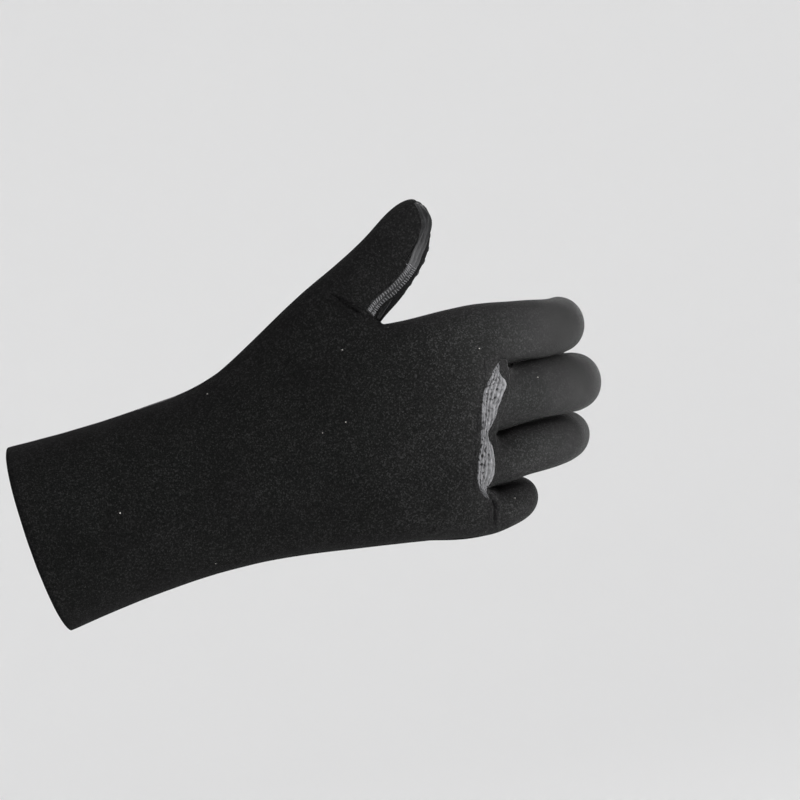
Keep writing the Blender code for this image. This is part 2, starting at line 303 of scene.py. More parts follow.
def linear(hex_colour):
    """An sRGB hex colour as linear red, green, blue and alpha."""
    channels = []
    for start in (1, 3, 5):
        value = int(hex_colour[start:start + 2], 16) / 255.0
        channels.append(value / 12.92 if value <= 0.04045 else ((value + 0.055) / 1.055) ** 2.4)
    return (*channels, 1.0)


def colour_setting(name, description, hex_colour):
    """A setting for a colour."""
    return bpy.props.StringProperty(
        name=name, description=description + ", sRGB hex", default=hex_colour)


def length_setting(name, description, metres):
    """A setting for a length."""
    return bpy.props.FloatProperty(
        name=name, description=description, default=metres, unit="LENGTH")


class GloveFabricSettings(bpy.types.PropertyGroup):
    """Colours and thread sizes of the knitted faces."""

    back_dark: colour_setting("Back, dark", "Darkest yarn of the back", "#030303")
    back_light: colour_setting("Back, light", "Lightest yarn of the back", "#161616")
    palm_dark: colour_setting("Palm, dark", "Darkest yarn of the palm", "#070707")
    palm_light: colour_setting("Palm, light", "Lightest yarn of the palm", "#131314")
    lint: colour_setting("Lint", "Specks of lint and salt", "#8c8986")
    # Real loops are about 0.3 mm wide. They are drawn wider here, so that they show
    loop_width: length_setting("Loop width", "Width of a knitted loop", 0.5 * MM)
    glint_width: length_setting("Glint width", "Width of the loops that catch the light", 0.5 * MM)
    # Painted shade: how far from a crease the jersey is darkened
    painted_shade_reach: length_setting(
        "Crease reach", "How far from a crease the jersey stays dark", 7.0 * MM)
    lint_spacing: length_setting("Lint spacing", "Usual distance between specks", 9.0 * MM)
    # The jersey pales towards the fingertips, partly as stretch and partly as painted light
    stretch_and_light_start: length_setting(
        "Stretch start", "Where the jersey starts to be stretched over the fingers", 100.0 * MM)
    stretch_and_light_full: length_setting(
        "Stretch full", "Where the jersey is fully stretched over the fingers", 236.0 * MM)


class GloveRubberSettings(bpy.types.PropertyGroup):
    """Colours and sizes of the rubber band, the strip and the stitches."""

    band_groove: colour_setting("Band, grooves", "Colour of the band's grooves", "#111112")
    band_ridge: colour_setting("Band, ridges", "Colour of the band's ridges", "#68686a")
    band_height: length_setting("Band height", "How far the band stands proud", 0.45 * MM)
    ridge_height: length_setting("Ridge height", "Height of the band's ridges", 0.45 * MM)
    ridges: bpy.props.FloatProperty(
        name="Ridges", description="Ridges across the band", default=5.6)
    strip_dark: colour_setting("Strip, dark", "Colour of the thumb strip", "#080809")
    strip_pale: colour_setting("Strip, pale", "Colour of its rubbed stretch", "#2b2b2c")
    strip_height: length_setting("Strip height", "How far the strip stands proud", 0.4 * MM)
    knit_margin: length_setting(
        "Knit margin", "How far round the film the seam is covered with jersey", 7.0 * MM)
    core_colour: colour_setting("Foam core", "Colour of the cut foam", "#19191a")
    thread_colour: colour_setting("Thread", "Colour of the stitches", "#464648")
    thread_width: length_setting("Thread width", "Diameter of the thread", 0.42 * MM)
    stitch_pitch: length_setting("Stitch pitch", "Distance between stitches", 1.05 * MM)


class GloveGripSettings(bpy.types.PropertyGroup):
    """Sizes of the printed silicone rings."""

    colour: colour_setting("Silicone", "Colour of the printed rings", "#0b0b0c")
    palm_ring: length_setting("Palm ring", "Outer diameter of a ring on the palm", 6.0 * MM)
    palm_hole: length_setting("Palm hole", "Hole of a ring on the palm", 1.9 * MM)
    palm_pitch: length_setting("Palm pitch", "Distance between rings on the palm", 6.9 * MM)
    finger_ring: length_setting("Finger ring", "Outer diameter of a ring on a finger", 3.7 * MM)
    finger_hole: length_setting("Finger hole", "Hole of a ring on a finger", 0.9 * MM)
    finger_pitch: length_setting("Finger pitch", "Distance between rings along a finger", 4.9 * MM)
    strip_margin: length_setting("Strip margin", "How far rings keep from the strip", 4.6 * MM)
    seam_margin: length_setting("Seam margin", "How far rings keep from the back panels", 2.8 * MM)
    height: length_setting("Height", "How far a ring stands above the fabric", 0.65 * MM)


class GloveStageSettings(bpy.types.PropertyGroup):
    """Backdrop and camera."""

    backdrop: colour_setting("Backdrop", "Colour of the floor and wall", "#e4e4e4")
    distance: length_setting("Distance", "From the camera to the glove", 1.883)
    lens: bpy.props.FloatProperty(
        name="Lens", description="Focal length in millimetres", default=200.0)
    azimuth: bpy.props.FloatProperty(
        name="Azimuth", description="Turn of the camera round the glove", default=math.radians(5.0),
        subtype="ANGLE")
    roll: bpy.props.FloatProperty(
        name="Roll", description="How far the forearm slopes up in the picture",
        default=math.radians(19.19), subtype="ANGLE")
    aim: bpy.props.FloatVectorProperty(
        name="Aim", description="The point that the camera looks at", default=(0.1612, 0.0241, 0.0054),
        subtype="XYZ", unit="LENGTH")


# Materials


def add_node(tree, kind, settings, links):
    """Adds a node, sets its properties and inputs, and links its inputs from (node, output)."""
    node = tree.nodes.new(kind)
    for name, value in settings.items():
        if isinstance(name, str) and name not in node.inputs:
            setattr(node, name, value)
        else:
            node.inputs[name].default_value = value
    for name, (source, output) in links.items():
        tree.links.new(source.outputs[output], node.inputs[name])
    return node


def new_material(name, roughness, **sockets):
    """A material, its nodes, its Principled shader and the link of a pattern to the object's own
    coordinates."""
    material = bpy.data.materials.new(name)
    material.use_nodes = True
    tree = material.node_tree
    shader = tree.nodes["Principled BSDF"]
    shader.inputs["Roughness"].default_value = roughness
    for socket, value in sockets.items():
        shader.inputs[socket.replace("_", " ")].default_value = value
    place = add_node(tree, "ShaderNodeTexCoord", {}, {})
    return material, tree, shader, {"Vector": (place, "Object")}


def knitted_nylon(name, dark, light, settings, sheen, most_stretched_and_lit):
    """Nylon jersey glued to foam: matte, with fine loops that read as speckle, paler towards the
    fingertips, partly where it is stretched over the fingers and partly as painted light, with
    painted shade in the creases, a short fuzz that lights up at the rim and a little pale lint."""
    material, tree, shader, on_object = new_material(
        name, 0.85, Sheen_Roughness=0.16, Sheen_Tint=linear("#b4b4b4"), Specular_IOR_Level=0.03)
    loops_per_metre = 1.0 / settings.loop_width
    scaled = add_node(tree, "ShaderNodeMapping", {"Scale": (0.7, 1.0, 1.0)}, on_object)
    loops = add_node(tree, "ShaderNodeTexVoronoi", {"feature": "SMOOTH_F1", "Scale": loops_per_metre,
                     "Smoothness": 0.2}, {"Vector": (scaled, "Vector")})
    fuzz = add_node(tree, "ShaderNodeTexNoise", {"Scale": loops_per_metre * 1.3, "Detail": 3.0,
                    "Roughness": 0.7}, on_object)
    wear = add_node(tree, "ShaderNodeTexNoise", {"Scale": 42.0, "Detail": 4.0, "Roughness": 0.6},
                    on_object)
    mixed = add_node(tree, "ShaderNodeMath", {"operation": "MULTIPLY_ADD", 1: 0.9},
                     {0: (fuzz, "Fac"), 2: (loops, "Distance")})
    yarns = add_node(tree, "ShaderNodeTexVoronoi", {"Scale": 1.0 / settings.glint_width}, on_object)
    glints = add_node(tree, "ShaderNodeSeparateColor", {}, {"Color": (yarns, "Color")})
    glint = add_node(tree, "ShaderNodeMath", {"operation": "POWER", 1: 4.5}, {0: (glints, "Blue")})
    loop = add_node(tree, "ShaderNodeMapRange", {"From Min": 0.6, "From Max": 1.15, "To Max": 0.2},
                    {"Value": (mixed, 0)})
    speckle = add_node(tree, "ShaderNodeMath", {"operation": "ADD"},
                       {0: (glint, 0), 1: (loop, "Result")})
    patch = add_node(tree, "ShaderNodeMapRange", {"From Min": 0.3, "From Max": 0.7, "To Min": 0.82,
                     "To Max": 1.18}, {"Value": (wear, "Fac")})
    # Paler towards the fingertips and less so on the thumb: partly stretched jersey, partly painted
    # light
    parts = add_node(tree, "ShaderNodeSeparateXYZ", {}, on_object)
    thumb = add_node(tree, "ShaderNodeMapRange", {"From Min": 0.025, "From Max": 0.05, "To Min": 1.0,
                     "To Max": 0.35}, {"Value": (parts, "Z")})
    reach = add_node(tree, "ShaderNodeMapRange", {"From Min": settings.stretch_and_light_start,
                     "From Max": settings.stretch_and_light_full}, {"Value": (parts, "X")})
    eased = add_node(tree, "ShaderNodeMath", {"operation": "POWER", 1: 3.6}, {0: (reach, "Result")})
    share = add_node(tree, "ShaderNodeMath", {"operation": "MULTIPLY"},
                     {0: (eased, 0), 1: (thumb, "Result")})
    stretch_and_light = add_node(tree, "ShaderNodeMath", {"operation": "MULTIPLY_ADD",
                       1: most_stretched_and_lit - 1.0, 2: 1.0}, {0: (share, 0)})
    fuzzy = add_node(tree, "ShaderNodeMath", {"operation": "MULTIPLY", 1: sheen}, {0: (share, 0)})
    tree.links.new(fuzzy.outputs[0], shader.inputs["Sheen Weight"])
    spread = add_node(tree, "ShaderNodeMix", {3: 0.25}, {0: (eased, 0), 2: (speckle, 0)})
    yarn = add_node(tree, "ShaderNodeMix", {"data_type": "RGBA", 6: linear(dark), 7: linear(light)},
                    {0: (spread, 0)})
    tone = add_node(tree, "ShaderNodeMath", {"operation": "MULTIPLY"},
                    {0: (patch, "Result"), 1: (stretch_and_light, 0)})
    dyed = add_node(tree, "ShaderNodeVectorMath", {"operation": "SCALE"},
                    {0: (yarn, 2), "Scale": (tone, 0)})
    # Painted shade: ambient occlusion darkens the jersey in its creases and between the fingers
    painted_crease_shade = add_node(tree, "ShaderNodeAmbientOcclusion",
                      {"samples": 6, "Distance": settings.painted_shade_reach}, {})
    crease = add_node(tree, "ShaderNodeMapRange", {"From Min": 0.2, "From Max": 0.7, "To Min": 0.12},
                      {"Value": (painted_crease_shade, "AO")})
    shaded = add_node(tree, "ShaderNodeVectorMath", {"operation": "SCALE"},
                      {0: (dyed, 0), "Scale": (crease, "Result")})
    lint = add_node(tree, "ShaderNodeTexVoronoi", {"Scale": 1.0 / settings.lint_spacing}, on_object)
    small = add_node(tree, "ShaderNodeMath", {"operation": "LESS_THAN", 1: 0.034},
                     {0: (lint, "Distance")})
    split = add_node(tree, "ShaderNodeSeparateColor", {}, {"Color": (lint, "Color")})
    few = add_node(tree, "ShaderNodeMath", {"operation": "GREATER_THAN", 1: 0.35}, {0: (split, "Red")})
    speck = add_node(tree, "ShaderNodeMath", {"operation": "MULTIPLY"}, {0: (small, 0), 1: (few, 0)})
    faint = add_node(tree, "ShaderNodeMath", {"operation": "MULTIPLY"},
                     {0: (speck, 0), 1: (split, "Green")})
    face = add_node(tree, "ShaderNodeMix", {"data_type": "RGBA", 7: linear(settings.lint)},
                    {0: (faint, 0), 6: (shaded, 0)})
    tree.links.new(face.outputs[2], shader.inputs["Base Color"])
    bump = add_node(tree, "ShaderNodeBump", {"Strength": 0.6, "Distance": settings.loop_width * 0.35},
                    {"Height": (mixed, 0)})
    tree.links.new(bump.outputs["Normal"], shader.inputs["Normal"])
    return material


def cut_foam(settings):
    """Closed-cell rubber foam where it is cut: dull, with fine pores."""
    material, tree, shader, on_object = new_material(
        "cut_foam", 0.92, Base_Color=linear(settings.core_colour), Specular_IOR_Level=0.2)
    pores = add_node(tree, "ShaderNodeTexVoronoi", {"Scale": 3600.0}, on_object)
    bump = add_node(tree, "ShaderNodeBump", {"Strength": 0.5, "Distance": 0.08 * MM},
                    {"Height": (pores, "Distance")})
    tree.links.new(bump.outputs["Normal"], shader.inputs["Normal"])
    return material


def spread_rubber(name, dark, pale, roughness, grain):
    """Liquid rubber spread over a seam and cured: satin, darker in its hollows and paler on its
    ridges. The mesh carries how pale each place is."""
    material, tree, shader, on_object = new_material(name, roughness, Specular_IOR_Level=0.15)
    pale_place = add_node(tree, "ShaderNodeAttribute", {"attribute_name": "pale"}, {})
    streak = add_node(tree, "ShaderNodeTexNoise", {"Scale": grain, "Detail": 5.0, "Roughness": 0.7},
                      on_object)
    uneven = add_node(tree, "ShaderNodeMath", {"operation": "MULTIPLY_ADD", 1: 1.1, 2: -0.5},
                      {0: (streak, "Fac")})
    pale_share = add_node(tree, "ShaderNodeMath", {"operation": "ADD", "use_clamp": True},
                      {0: (pale_place, "Fac"), 1: (uneven, 0)})
    face = add_node(tree, "ShaderNodeMix", {"data_type": "RGBA", 6: linear(dark), 7: linear(pale)},
                    {0: (pale_share, 0)})
    tree.links.new(face.outputs[2], shader.inputs["Base Color"])
    skin = add_node(tree, "ShaderNodeTexNoise", {"Scale": 2400.0, "Detail": 3.0}, on_object)
    bump = add_node(tree, "ShaderNodeBump", {"Strength": 0.3, "Distance": 0.1 * MM},
                    {"Height": (skin, "Fac")})
    tree.links.new(bump.outputs["Normal"], shader.inputs["Normal"])
    return material


def printed_silicone(colour):
    """Screen-printed silicone: glossy and black, so that each ring carries its own highlight."""
    material, tree, shader, on_object = new_material(
        "printed_silicone", 0.2, Base_Color=linear(colour), Specular_IOR_Level=0.6, IOR=1.43)
    rub = add_node(tree, "ShaderNodeTexNoise", {"Scale": 420.0, "Detail": 3.0}, on_object)
    dull = add_node(tree, "ShaderNodeMapRange", {"From Min": 0.35, "From Max": 0.75, "To Min": 0.12,
                    "To Max": 0.38}, {"Value": (rub, "Fac")})
    tree.links.new(dull.outputs["Result"], shader.inputs["Roughness"])
    return material


def bonded_thread(colour):
    """Bonded nylon sewing thread: finely twisted, with a slight waxy gloss."""
    material, tree, shader, on_object = new_material(
        "bonded_thread", 0.45, Base_Color=linear(colour), Specular_IOR_Level=0.5)
    twist = add_node(tree, "ShaderNodeTexNoise", {"Scale": 5200.0, "Detail": 1.0}, on_object)
    bump = add_node(tree, "ShaderNodeBump", {"Strength": 0.4, "Distance": 0.05 * MM},
                    {"Height": (twist, "Fac")})
    tree.links.new(bump.outputs["Normal"], shader.inputs["Normal"])
    return material


# Meshes


def linked(name, data):
    """A new object with the given data, in the scene."""
    thing = bpy.data.objects.new(name, data)
    bpy.context.scene.collection.objects.link(thing)
    return thing


def as_mesh(bm, name):
    """The bmesh as a new mesh. The bmesh is freed."""
    mesh = bpy.data.meshes.new(name)
    bm.to_mesh(mesh)
    bm.free()
    return mesh


def as_bmesh(thing):
    """The object with its modifiers or its bevel applied, as a bmesh. The object is removed."""
    bpy.context.view_layer.update()
    graph = bpy.context.evaluated_depsgraph_get()
    mesh = bpy.data.meshes.new_from_object(thing.evaluated_get(graph))
    bpy.data.objects.remove(thing)
    bm = bmesh.new()
    bm.from_mesh(mesh)
    bpy.data.meshes.remove(mesh)
    return bm


def turned(section, closed, steps):
    """A section of (x, z) places turned once round the Z axis."""
    bm = bmesh.new()
    verts = [bm.verts.new((x, 0.0, z)) for x, z in section]
    ends = verts[1:] + verts[:1] if closed else verts[1:]
    edges = [bm.edges.new(pair) for pair in zip(verts, ends)]
    bmesh.ops.spin(bm, geom=verts + edges, cent=(0, 0, 0), axis=(0, 0, 1), angle=2.0 * math.pi,
                   steps=steps, use_merge=True)
    bmesh.ops.remove_doubles(bm, verts=bm.verts, dist=MERGE)
    bmesh.ops.recalc_face_normals(bm, faces=bm.faces)
    return bm


def paired_copy(node):
    """The node's mesh with its loose triangles merged and paired back into quads."""
    bm = bmesh.new()
    bm.from_mesh(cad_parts[node].data)
    bmesh.ops.remove_doubles(bm, verts=bm.verts, dist=MERGE)
    bmesh.ops.join_triangles(bm, faces=bm.faces, angle_face_threshold=math.radians(35.0),
                             angle_shape_threshold=math.radians(80.0))
    return bm


def sheets_of(bm):
    """The areas of a walled panel inside its sharp edges, the largest first."""
    bm.faces.ensure_lookup_table()
    left = set(bm.faces)
    areas = []
    while left:
        first = next(f for f in bm.faces if f in left)
        left.discard(first)
        area, queue = [first], [first]
        while queue:
            face = queue.pop()
            for edge in face.edges:
                if len(edge.link_faces) != 2 or edge.calc_face_angle(0.0) > SHARP:
                    continue
                for other in edge.link_faces:
                    if other in left:
                        left.discard(other)
                        area.append(other)
                        queue.append(other)
        areas.append(area)
    areas.sort(key=lambda area: sum(f.calc_area() for f in area), reverse=True)
    return areas


def smoothed_panel(node, levels):
    """The node's form subdivided, with a soft rim and a mark for its outer sheet."""
    bm = paired_copy(node)
    outer_faces = set(sheets_of(bm)[0])
    outer = bm.verts.layers.float.new("outer")
    crease = bm.edges.layers.float.new("crease_edge")
    for edge in bm.edges:
        kinds = {f in outer_faces for f in edge.link_faces}
        if kinds == {True, False} or edge.calc_face_angle(0.0) > SHARP:
            edge[crease] = RIM_CREASE
    for face in outer_faces:
        for vert in face.verts:
            vert[outer] = 1.0
    mesh = as_mesh(bm, "cage")
    cage = linked("cage", mesh)
    subdivision = cage.modifiers.new("smooth", "SUBSURF")
    subdivision.levels = subdivision.render_levels = levels
    bm = as_bmesh(cage)
    bpy.data.meshes.remove(mesh)
    bm.normal_update()
    return bm


def finished(bm, name, slot, materials, *nodes):
    """Makes the mesh a piece that rides on the glove and stands for the given nodes."""
    for face in bm.faces:
        face.smooth = True
    mesh = as_mesh(bm, name)
    if "outer" in mesh.attributes:
        mesh.attributes.remove(mesh.attributes["outer"])
    for material in materials:
        mesh.materials.append(material)
    piece = linked(name, mesh)
    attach(piece, "root")
    if nodes:
        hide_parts(*nodes)


def camera_axes(stage):
    """The camera's place, and its right, up and backward directions."""
    level = Vector((math.cos(stage.azimuth), math.sin(stage.azimuth), 0.0))
    up = Vector((0.0, 0.0, 1.0))
    back = level.cross(up)
    right = level * math.cos(stage.roll) - up * math.sin(stage.roll)
    upward = level * math.sin(stage.roll) + up * math.cos(stage.roll)
    return Vector(stage.aim) + back * stage.distance, right, upward, back


def seen_at(tree, pixel):
    """The point and the normal of the surface that a pixel of the photograph shows."""
    stage = bpy.context.scene.glove_stage
    place, right, upward, back = camera_axes(stage)
    step = SENSOR_WIDTH / stage.lens / PHOTO_SIDE
    half = PHOTO_SIDE / 2.0
    direction = right * ((pixel[0] - half) * step) + upward * ((half - pixel[1]) * step) - back
    hit = tree.ray_cast(place, direction.normalized())
    if hit[0] is None:
        raise RuntimeError(f"nothing is seen at pixel {tuple(pixel)}")
    return hit[0], hit[1]


def curve_point(before, start, end, after, t):
    """The place at a share t of the soft curve from start to end, between its neighbours."""
    return 0.5 * (2.0 * start + (end - before) * t
                  + (2.0 * before - 5.0 * start + 4.0 * end - after) * t * t
                  + (3.0 * start - before - 3.0 * end + after) * t ** 3)


def on_curve(points, share):
    """The point of a soft curve through the given ones, from 0 at its start to 1 at its end."""
    count = len(points) - 1
    index = min(count - 1, int(share * count))
    start, end = points[index], points[index + 1]
    before = points[index - 1] if index > 0 else start * 2.0 - end
    after = points[index + 2] if index + 2 <= count else end * 2.0 - start
    return curve_point(before, start, end, after, share * count - index)


def spread_film(grid, place_of, lift_of, edge_rounds=0):
    """A closed film of rubber or jersey on the surface. place_of gives the point and the normal
    under a share across and a share along it, and lift_of how high it stands and how pale it is."""
    bm = bmesh.new()
    bmesh.ops.create_grid(bm, x_segments=grid[0], y_segments=grid[1], size=0.5)
    pale = bm.verts.layers.float.new("pale")
    shares = {}
    for vert in bm.verts:
        shares[vert] = (vert.co.x + 0.5, vert.co.y + 0.5)
        vert.co, outwards = place_of(*shares[vert])
    inner = [vert for vert in bm.verts if not vert.is_boundary]
    for verts in [bm.verts] * edge_rounds + [inner] * FILM_ROUNDS:
        bmesh.ops.smooth_vert(
            bm, verts=verts, factor=0.5, use_axis_x=True, use_axis_y=True, use_axis_z=True)
    bm.normal_update()
    if vert.normal.dot(outwards) < 0.0:
        bmesh.ops.reverse_faces(bm, faces=bm.faces)
        bm.normal_update()
    normals = {vert: vert.normal.copy() for vert in bm.verts}
    for vert, normal in normals.items():
        height, vert[pale] = lift_of(*shares[vert])
        vert.co += normal * height
    bmesh.ops.extrude_face_region(bm, geom=bm.faces[:], use_keep_orig=True)
    for vert, normal in normals.items():
        vert.co -= normal * FILM_THICKNESS
    bmesh.ops.recalc_face_normals(bm, faces=bm.faces)
    return bm


def soft_edge(share, width, rise):
    """From 0 at both edges of a film to 1 where it is full, over a given rise."""
    inside = max(0.0, min(1.0, min(share, 1.0 - share) * width / rise))
    return inside * inside * (3.0 - 2.0 * inside)


def add_under(bm, base):
    """Joins a base to a film."""
    mesh = as_mesh(base, "base")
    bm.from_mesh(mesh)
    bpy.data.meshes.remove(mesh)


def along_and_off(place, start, end):
    """How far along a line from start to end a place lies, from 0 to 1, and how far beside it."""
    line = end - start
    share = (place - start).dot(line) / line.length_squared
    off = (place - start).cross(line) / line.length
    return share, off


def press_folds(bm, folds):
    """Refines the back of a panel near its folds and presses them in."""
    outer = bm.verts.layers.float["outer"]
    tree = BVHTree.FromBMesh(bm)
    lines = []
    for *ends, half, depth, lip in folds:
        start = seen_at(tree, ends[:2])[0].xz
        end = seen_at(tree, ends[2:])[0].xz
        lines.append((start, end, half * MM, depth * MM, lip * MM))

    def on_back(vert):
        return vert[outer] > OUTSIDE and vert.normal.y < FOLD_FACING and vert.co.x > FOLDS_FROM

    for reach in FOLD_ROUNDS:
        near = []
        for edge in bm.edges:
            if not on_back(edge.verts[0]) or edge.calc_length() < FOLD_GRAIN:
                continue
            middle = (edge.verts[0].co + edge.verts[1].co) / 2.0
            for start, end, half, _, _ in lines:
                share, off = along_and_off(middle.xz, start, end)
                if -FOLD_MARGIN < share < 1.0 + FOLD_MARGIN and abs(off) < reach * half:
                    near.append(edge)
                    break
        bmesh.ops.subdivide_edges(bm, edges=near, cuts=1, use_grid_fill=True)
        bm.normal_update()
    for vert in bm.verts:
        if not on_back(vert):
            continue
        press = 0.0
        for start, end, half, depth, lip in lines:
            share, off = along_and_off(vert.co.xz, start, end)
            past = abs(2.0 * share - 1.0) / FOLD_FADE
            if past >= 1.0:
                continue
            taper = (1.0 - past * past) ** 0.8
            reach = off / half
            right = math.exp(-((reach - LIP_PLACE) ** 2))
            left = LEFT_LIP * math.exp(-((reach + LIP_PLACE) ** 2))
            press += (lip * (right + left) - depth * math.exp(-reach * reach)) * taper
        vert.co += vert.normal * press


def fill_out(bm, amount):
    """Gives the foam the fullness that subdivision takes, its own swells and a slight unevenness."""
    outer = bm.verts.layers.float["outer"]
    bm.normal_update()
    for vert in bm.verts:
        if vert[outer] < OUTSIDE:
            continue
        uneven = sum(share * noise.noise(vert.co * waves) for waves, share in UNEVEN_WAVES)
        vert.co += vert.normal * (EVEN_SWELL * MM + uneven * amount)
    for vert in bm.verts:
        outwards = vert.normal if vert[outer] > OUTSIDE else -vert.normal
        push = Vector()
        for *spot, way, reach, most in SWELLS:
            distance = (vert.co - Vector(spot) * MM).length / (reach * MM)
            if distance > SWELL_END:
                continue
            heading = Vector((math.cos(math.radians(way)), 0.0, math.sin(math.radians(way))))
            facing = min(1.0, 2.0 * max(0.0, outwards.dot(heading)))
            push += heading * (facing * most * MM * math.exp(-distance * distance))
        vert.co += push


def mark_wall(bm):
    """Gives the cut edge its foam and the inside its lining: material 1 and material 2."""
    outer = bm.verts.layers.float["outer"]
    for face in bm.faces:
        weight = sum(v[outer] for v in face.verts) / len(face.verts)
        if face.normal.x < CUT_FACING and face.calc_center_median().x < CUT_DEPTH:
            face.material_index = 1
        elif weight < OUTSIDE:
            face.material_index = 2


def surface_tree(*names):
    """The joined surface of the named pieces."""
    bm = bmesh.new()
    for name in names:
        bm.from_mesh(bpy.data.objects[name].data)
    tree = BVHTree.FromBMesh(bm)
    bm.free()
    return tree


# Operators


class GLOVE_OT_panels(bpy.types.Operator):
    """Builds the neoprene panels of the back, the palm and the two set-in finger backs"""

    bl_idname = "glove.panels"
    bl_label = "Neoprene Panels"

    def execute(self, context):
        settings = context.scene.glove_fabric
        rubber = context.scene.glove_rubber
        back, palm, lining = (
            knitted_nylon(name, dark, light, settings, sheen, most_stretched_and_lit)
            for name, dark, light, sheen, most_stretched_and_lit in (
                # The last number is how many times paler the fingertips are, from stretch and from
                # painted light
                ("nylon_jersey_back", settings.back_dark, settings.back_light, 0.30, 7.2),
                ("nylon_jersey_palm", settings.palm_dark, settings.palm_light, 0.20, 4.0),
                ("nylon_lining", settings.palm_dark, settings.back_light, 0.00, 1.0),
            ))
        core = cut_foam(rubber)
        for node, name, face, slot, levels in (
            ("back_panel", "glove_back", back, "jersey_neoprene", 2),
            ("palm_panel", "glove_palm", palm, "palm_neoprene", 2),
            ("middle_finger_back", "glove_middle_back", back, "jersey_neoprene", 3),
            ("ring_finger_back", "glove_ring_back", back, "jersey_neoprene", 3),
        ):
            bm = smoothed_panel(node, levels)
            press_folds(bm, FOLDS.get(node, ()))
            fill_out(bm, UNEVENNESS)
            bm.normal_update()
            mark_wall(bm)
            finished(bm, name, slot, (face, core, lining), node)
        return {"FINISHED"}


class GLOVE_OT_knuckle_band(bpy.types.Operator):
    """Builds the wrinkled rubber band at the base of the middle and ring fingers"""

    bl_idname = "glove.knuckle_band"
    bl_label = "Knuckle Band"

    def execute(self, context):
        rubber = context.scene.glove_rubber
        base = smoothed_panel("knuckle_band", 3)
        fill_out(base, 0.0)
        tree = joined_tree(base, "glove_back", "glove_middle_back", "glove_ring_back")
        edges = [Vector(row) for row in BAND_EDGES]
        patch = [Vector(row) for row in PATCH_EDGES]

        def band_place(across, along):
            row = on_curve(edges, along)
            ragged = 0.8 * noise.noise(Vector((along * 16.0, across * 3.0, 0.3)))
            return seen_at(tree, row.xy.lerp(row.zw, across) + Vector((ragged, 0.0)))

        def band_lift(across, along):
            row = on_curve(edges, along)
            width = (row.zw - row.xy).length * PHOTO_PIXEL
            full = soft_edge(across, width, 0.7 * MM) * soft_edge(along, 1.0, 0.03)
            bend = 0.7 * noise.noise(Vector((along * 5.0, across * 1.3, 1.7)))
            phase = across * rubber.ridges * min(1.0, 0.55 + width / (14.0 * MM)) + bend
            ridge = 0.5 + 0.5 * math.cos(2.0 * math.pi * phase)
            pit = max(0.0, noise.noise(Vector((along * 60.0, across * 6.0, 5.1))) - 0.1)
            pit *= max(0.0, 1.15 - 1.3 * across)
            crumb = noise.noise(Vector((along * 64.0, across * 26.0, 9.4)))
            lift = rubber.band_height * full + rubber.ridge_height * full * (ridge - 0.3 - 2.6 * pit)
            # Paler on the ridges and crumbs, darker in the pits, towards the film's edges and towards
            # the tail
            pale = (0.30 + 0.45 * ridge - 2.4 * pit + 0.5 * crumb) * (0.3 + 0.7 * full)
            pale *= 1.0 - 0.55 * along
            return lift + (0.22 * crumb * full - 0.15) * MM, max(0.0, min(1.0, pale))

        def patch_place(across, along):
            row = on_curve(patch, along)
            return seen_at(tree, row.xy.lerp(row.zw, across))

        def patch_lift(across, along):
            full = soft_edge(across, 1.0, 0.30) * soft_edge(along, 1.0, 0.08)
            return (0.12 * full - 0.05) * MM, 0.0

        bm = spread_film(BAND_GRID, band_place, band_lift)
        patch_film = spread_film(PATCH_GRID, patch_place, patch_lift)
        for face in [*patch_film.faces, *base.faces]:
            face.material_index = 1
        add_under(bm, patch_film)
        add_under(bm, base)
        face = spread_rubber("liquid_rubber_grey", rubber.band_groove, rubber.band_ridge, 0.5, 420.0)
        knit = bpy.data.materials["nylon_jersey_back"]
        finished(bm, "glove_knuckle_band", "band_rubber", (face, knit), "knuckle_band")
        return {"FINISHED"}


def joined_tree(base, *names):
    """The joined surface of a mesh in the making and of the named pieces."""
    bm = base.copy()
    for name in names:
        bm.from_mesh(bpy.data.objects[name].data)
    tree = BVHTree.FromBMesh(bm)
    bm.free()
    return tree


def thumb_seam():
    """The smoothed form of the thumb's strip and the surface that it makes with the panels."""
    base = smoothed_panel("thumb_strip", 3)
    fill_out(base, 0.0)
    return base, joined_tree(base, "glove_back", "glove_palm")


def strip_frame(tree, along):
    """The thumb strip at a share of its length: its back edge, normal, directions, width, paleness."""
    rows = [Vector(row) for row in STRIP_EDGE]
    here = on_curve(rows, along)
    shares = [min(1.0, max(0.0, along + step)) for step in STRIP_STEPS]
    seen = [seen_at(tree, on_curve(rows, share).xy) for share in shares]
    place = seen[len(seen) // 2][0]
    heading = (seen[-1][0] - seen[0][0]).normalized()
    normal = sum((up for _, up in seen), Vector()).normalized()
    return place, normal, heading, normal.cross(heading).normalized(), here.z * MM, here.w


def round_thumb(tree, place, normal, aside, reach):
    """The surface at a reach round the thumb from a place on it, found from outside."""
    angle = reach / THUMB_RADIUS
    out = normal * math.cos(angle) + aside * math.sin(angle)
    start = place - normal * THUMB_RADIUS + out * (THUMB_RADIUS + LOOK_FROM)
    return tree.find_nearest(start)[:2]


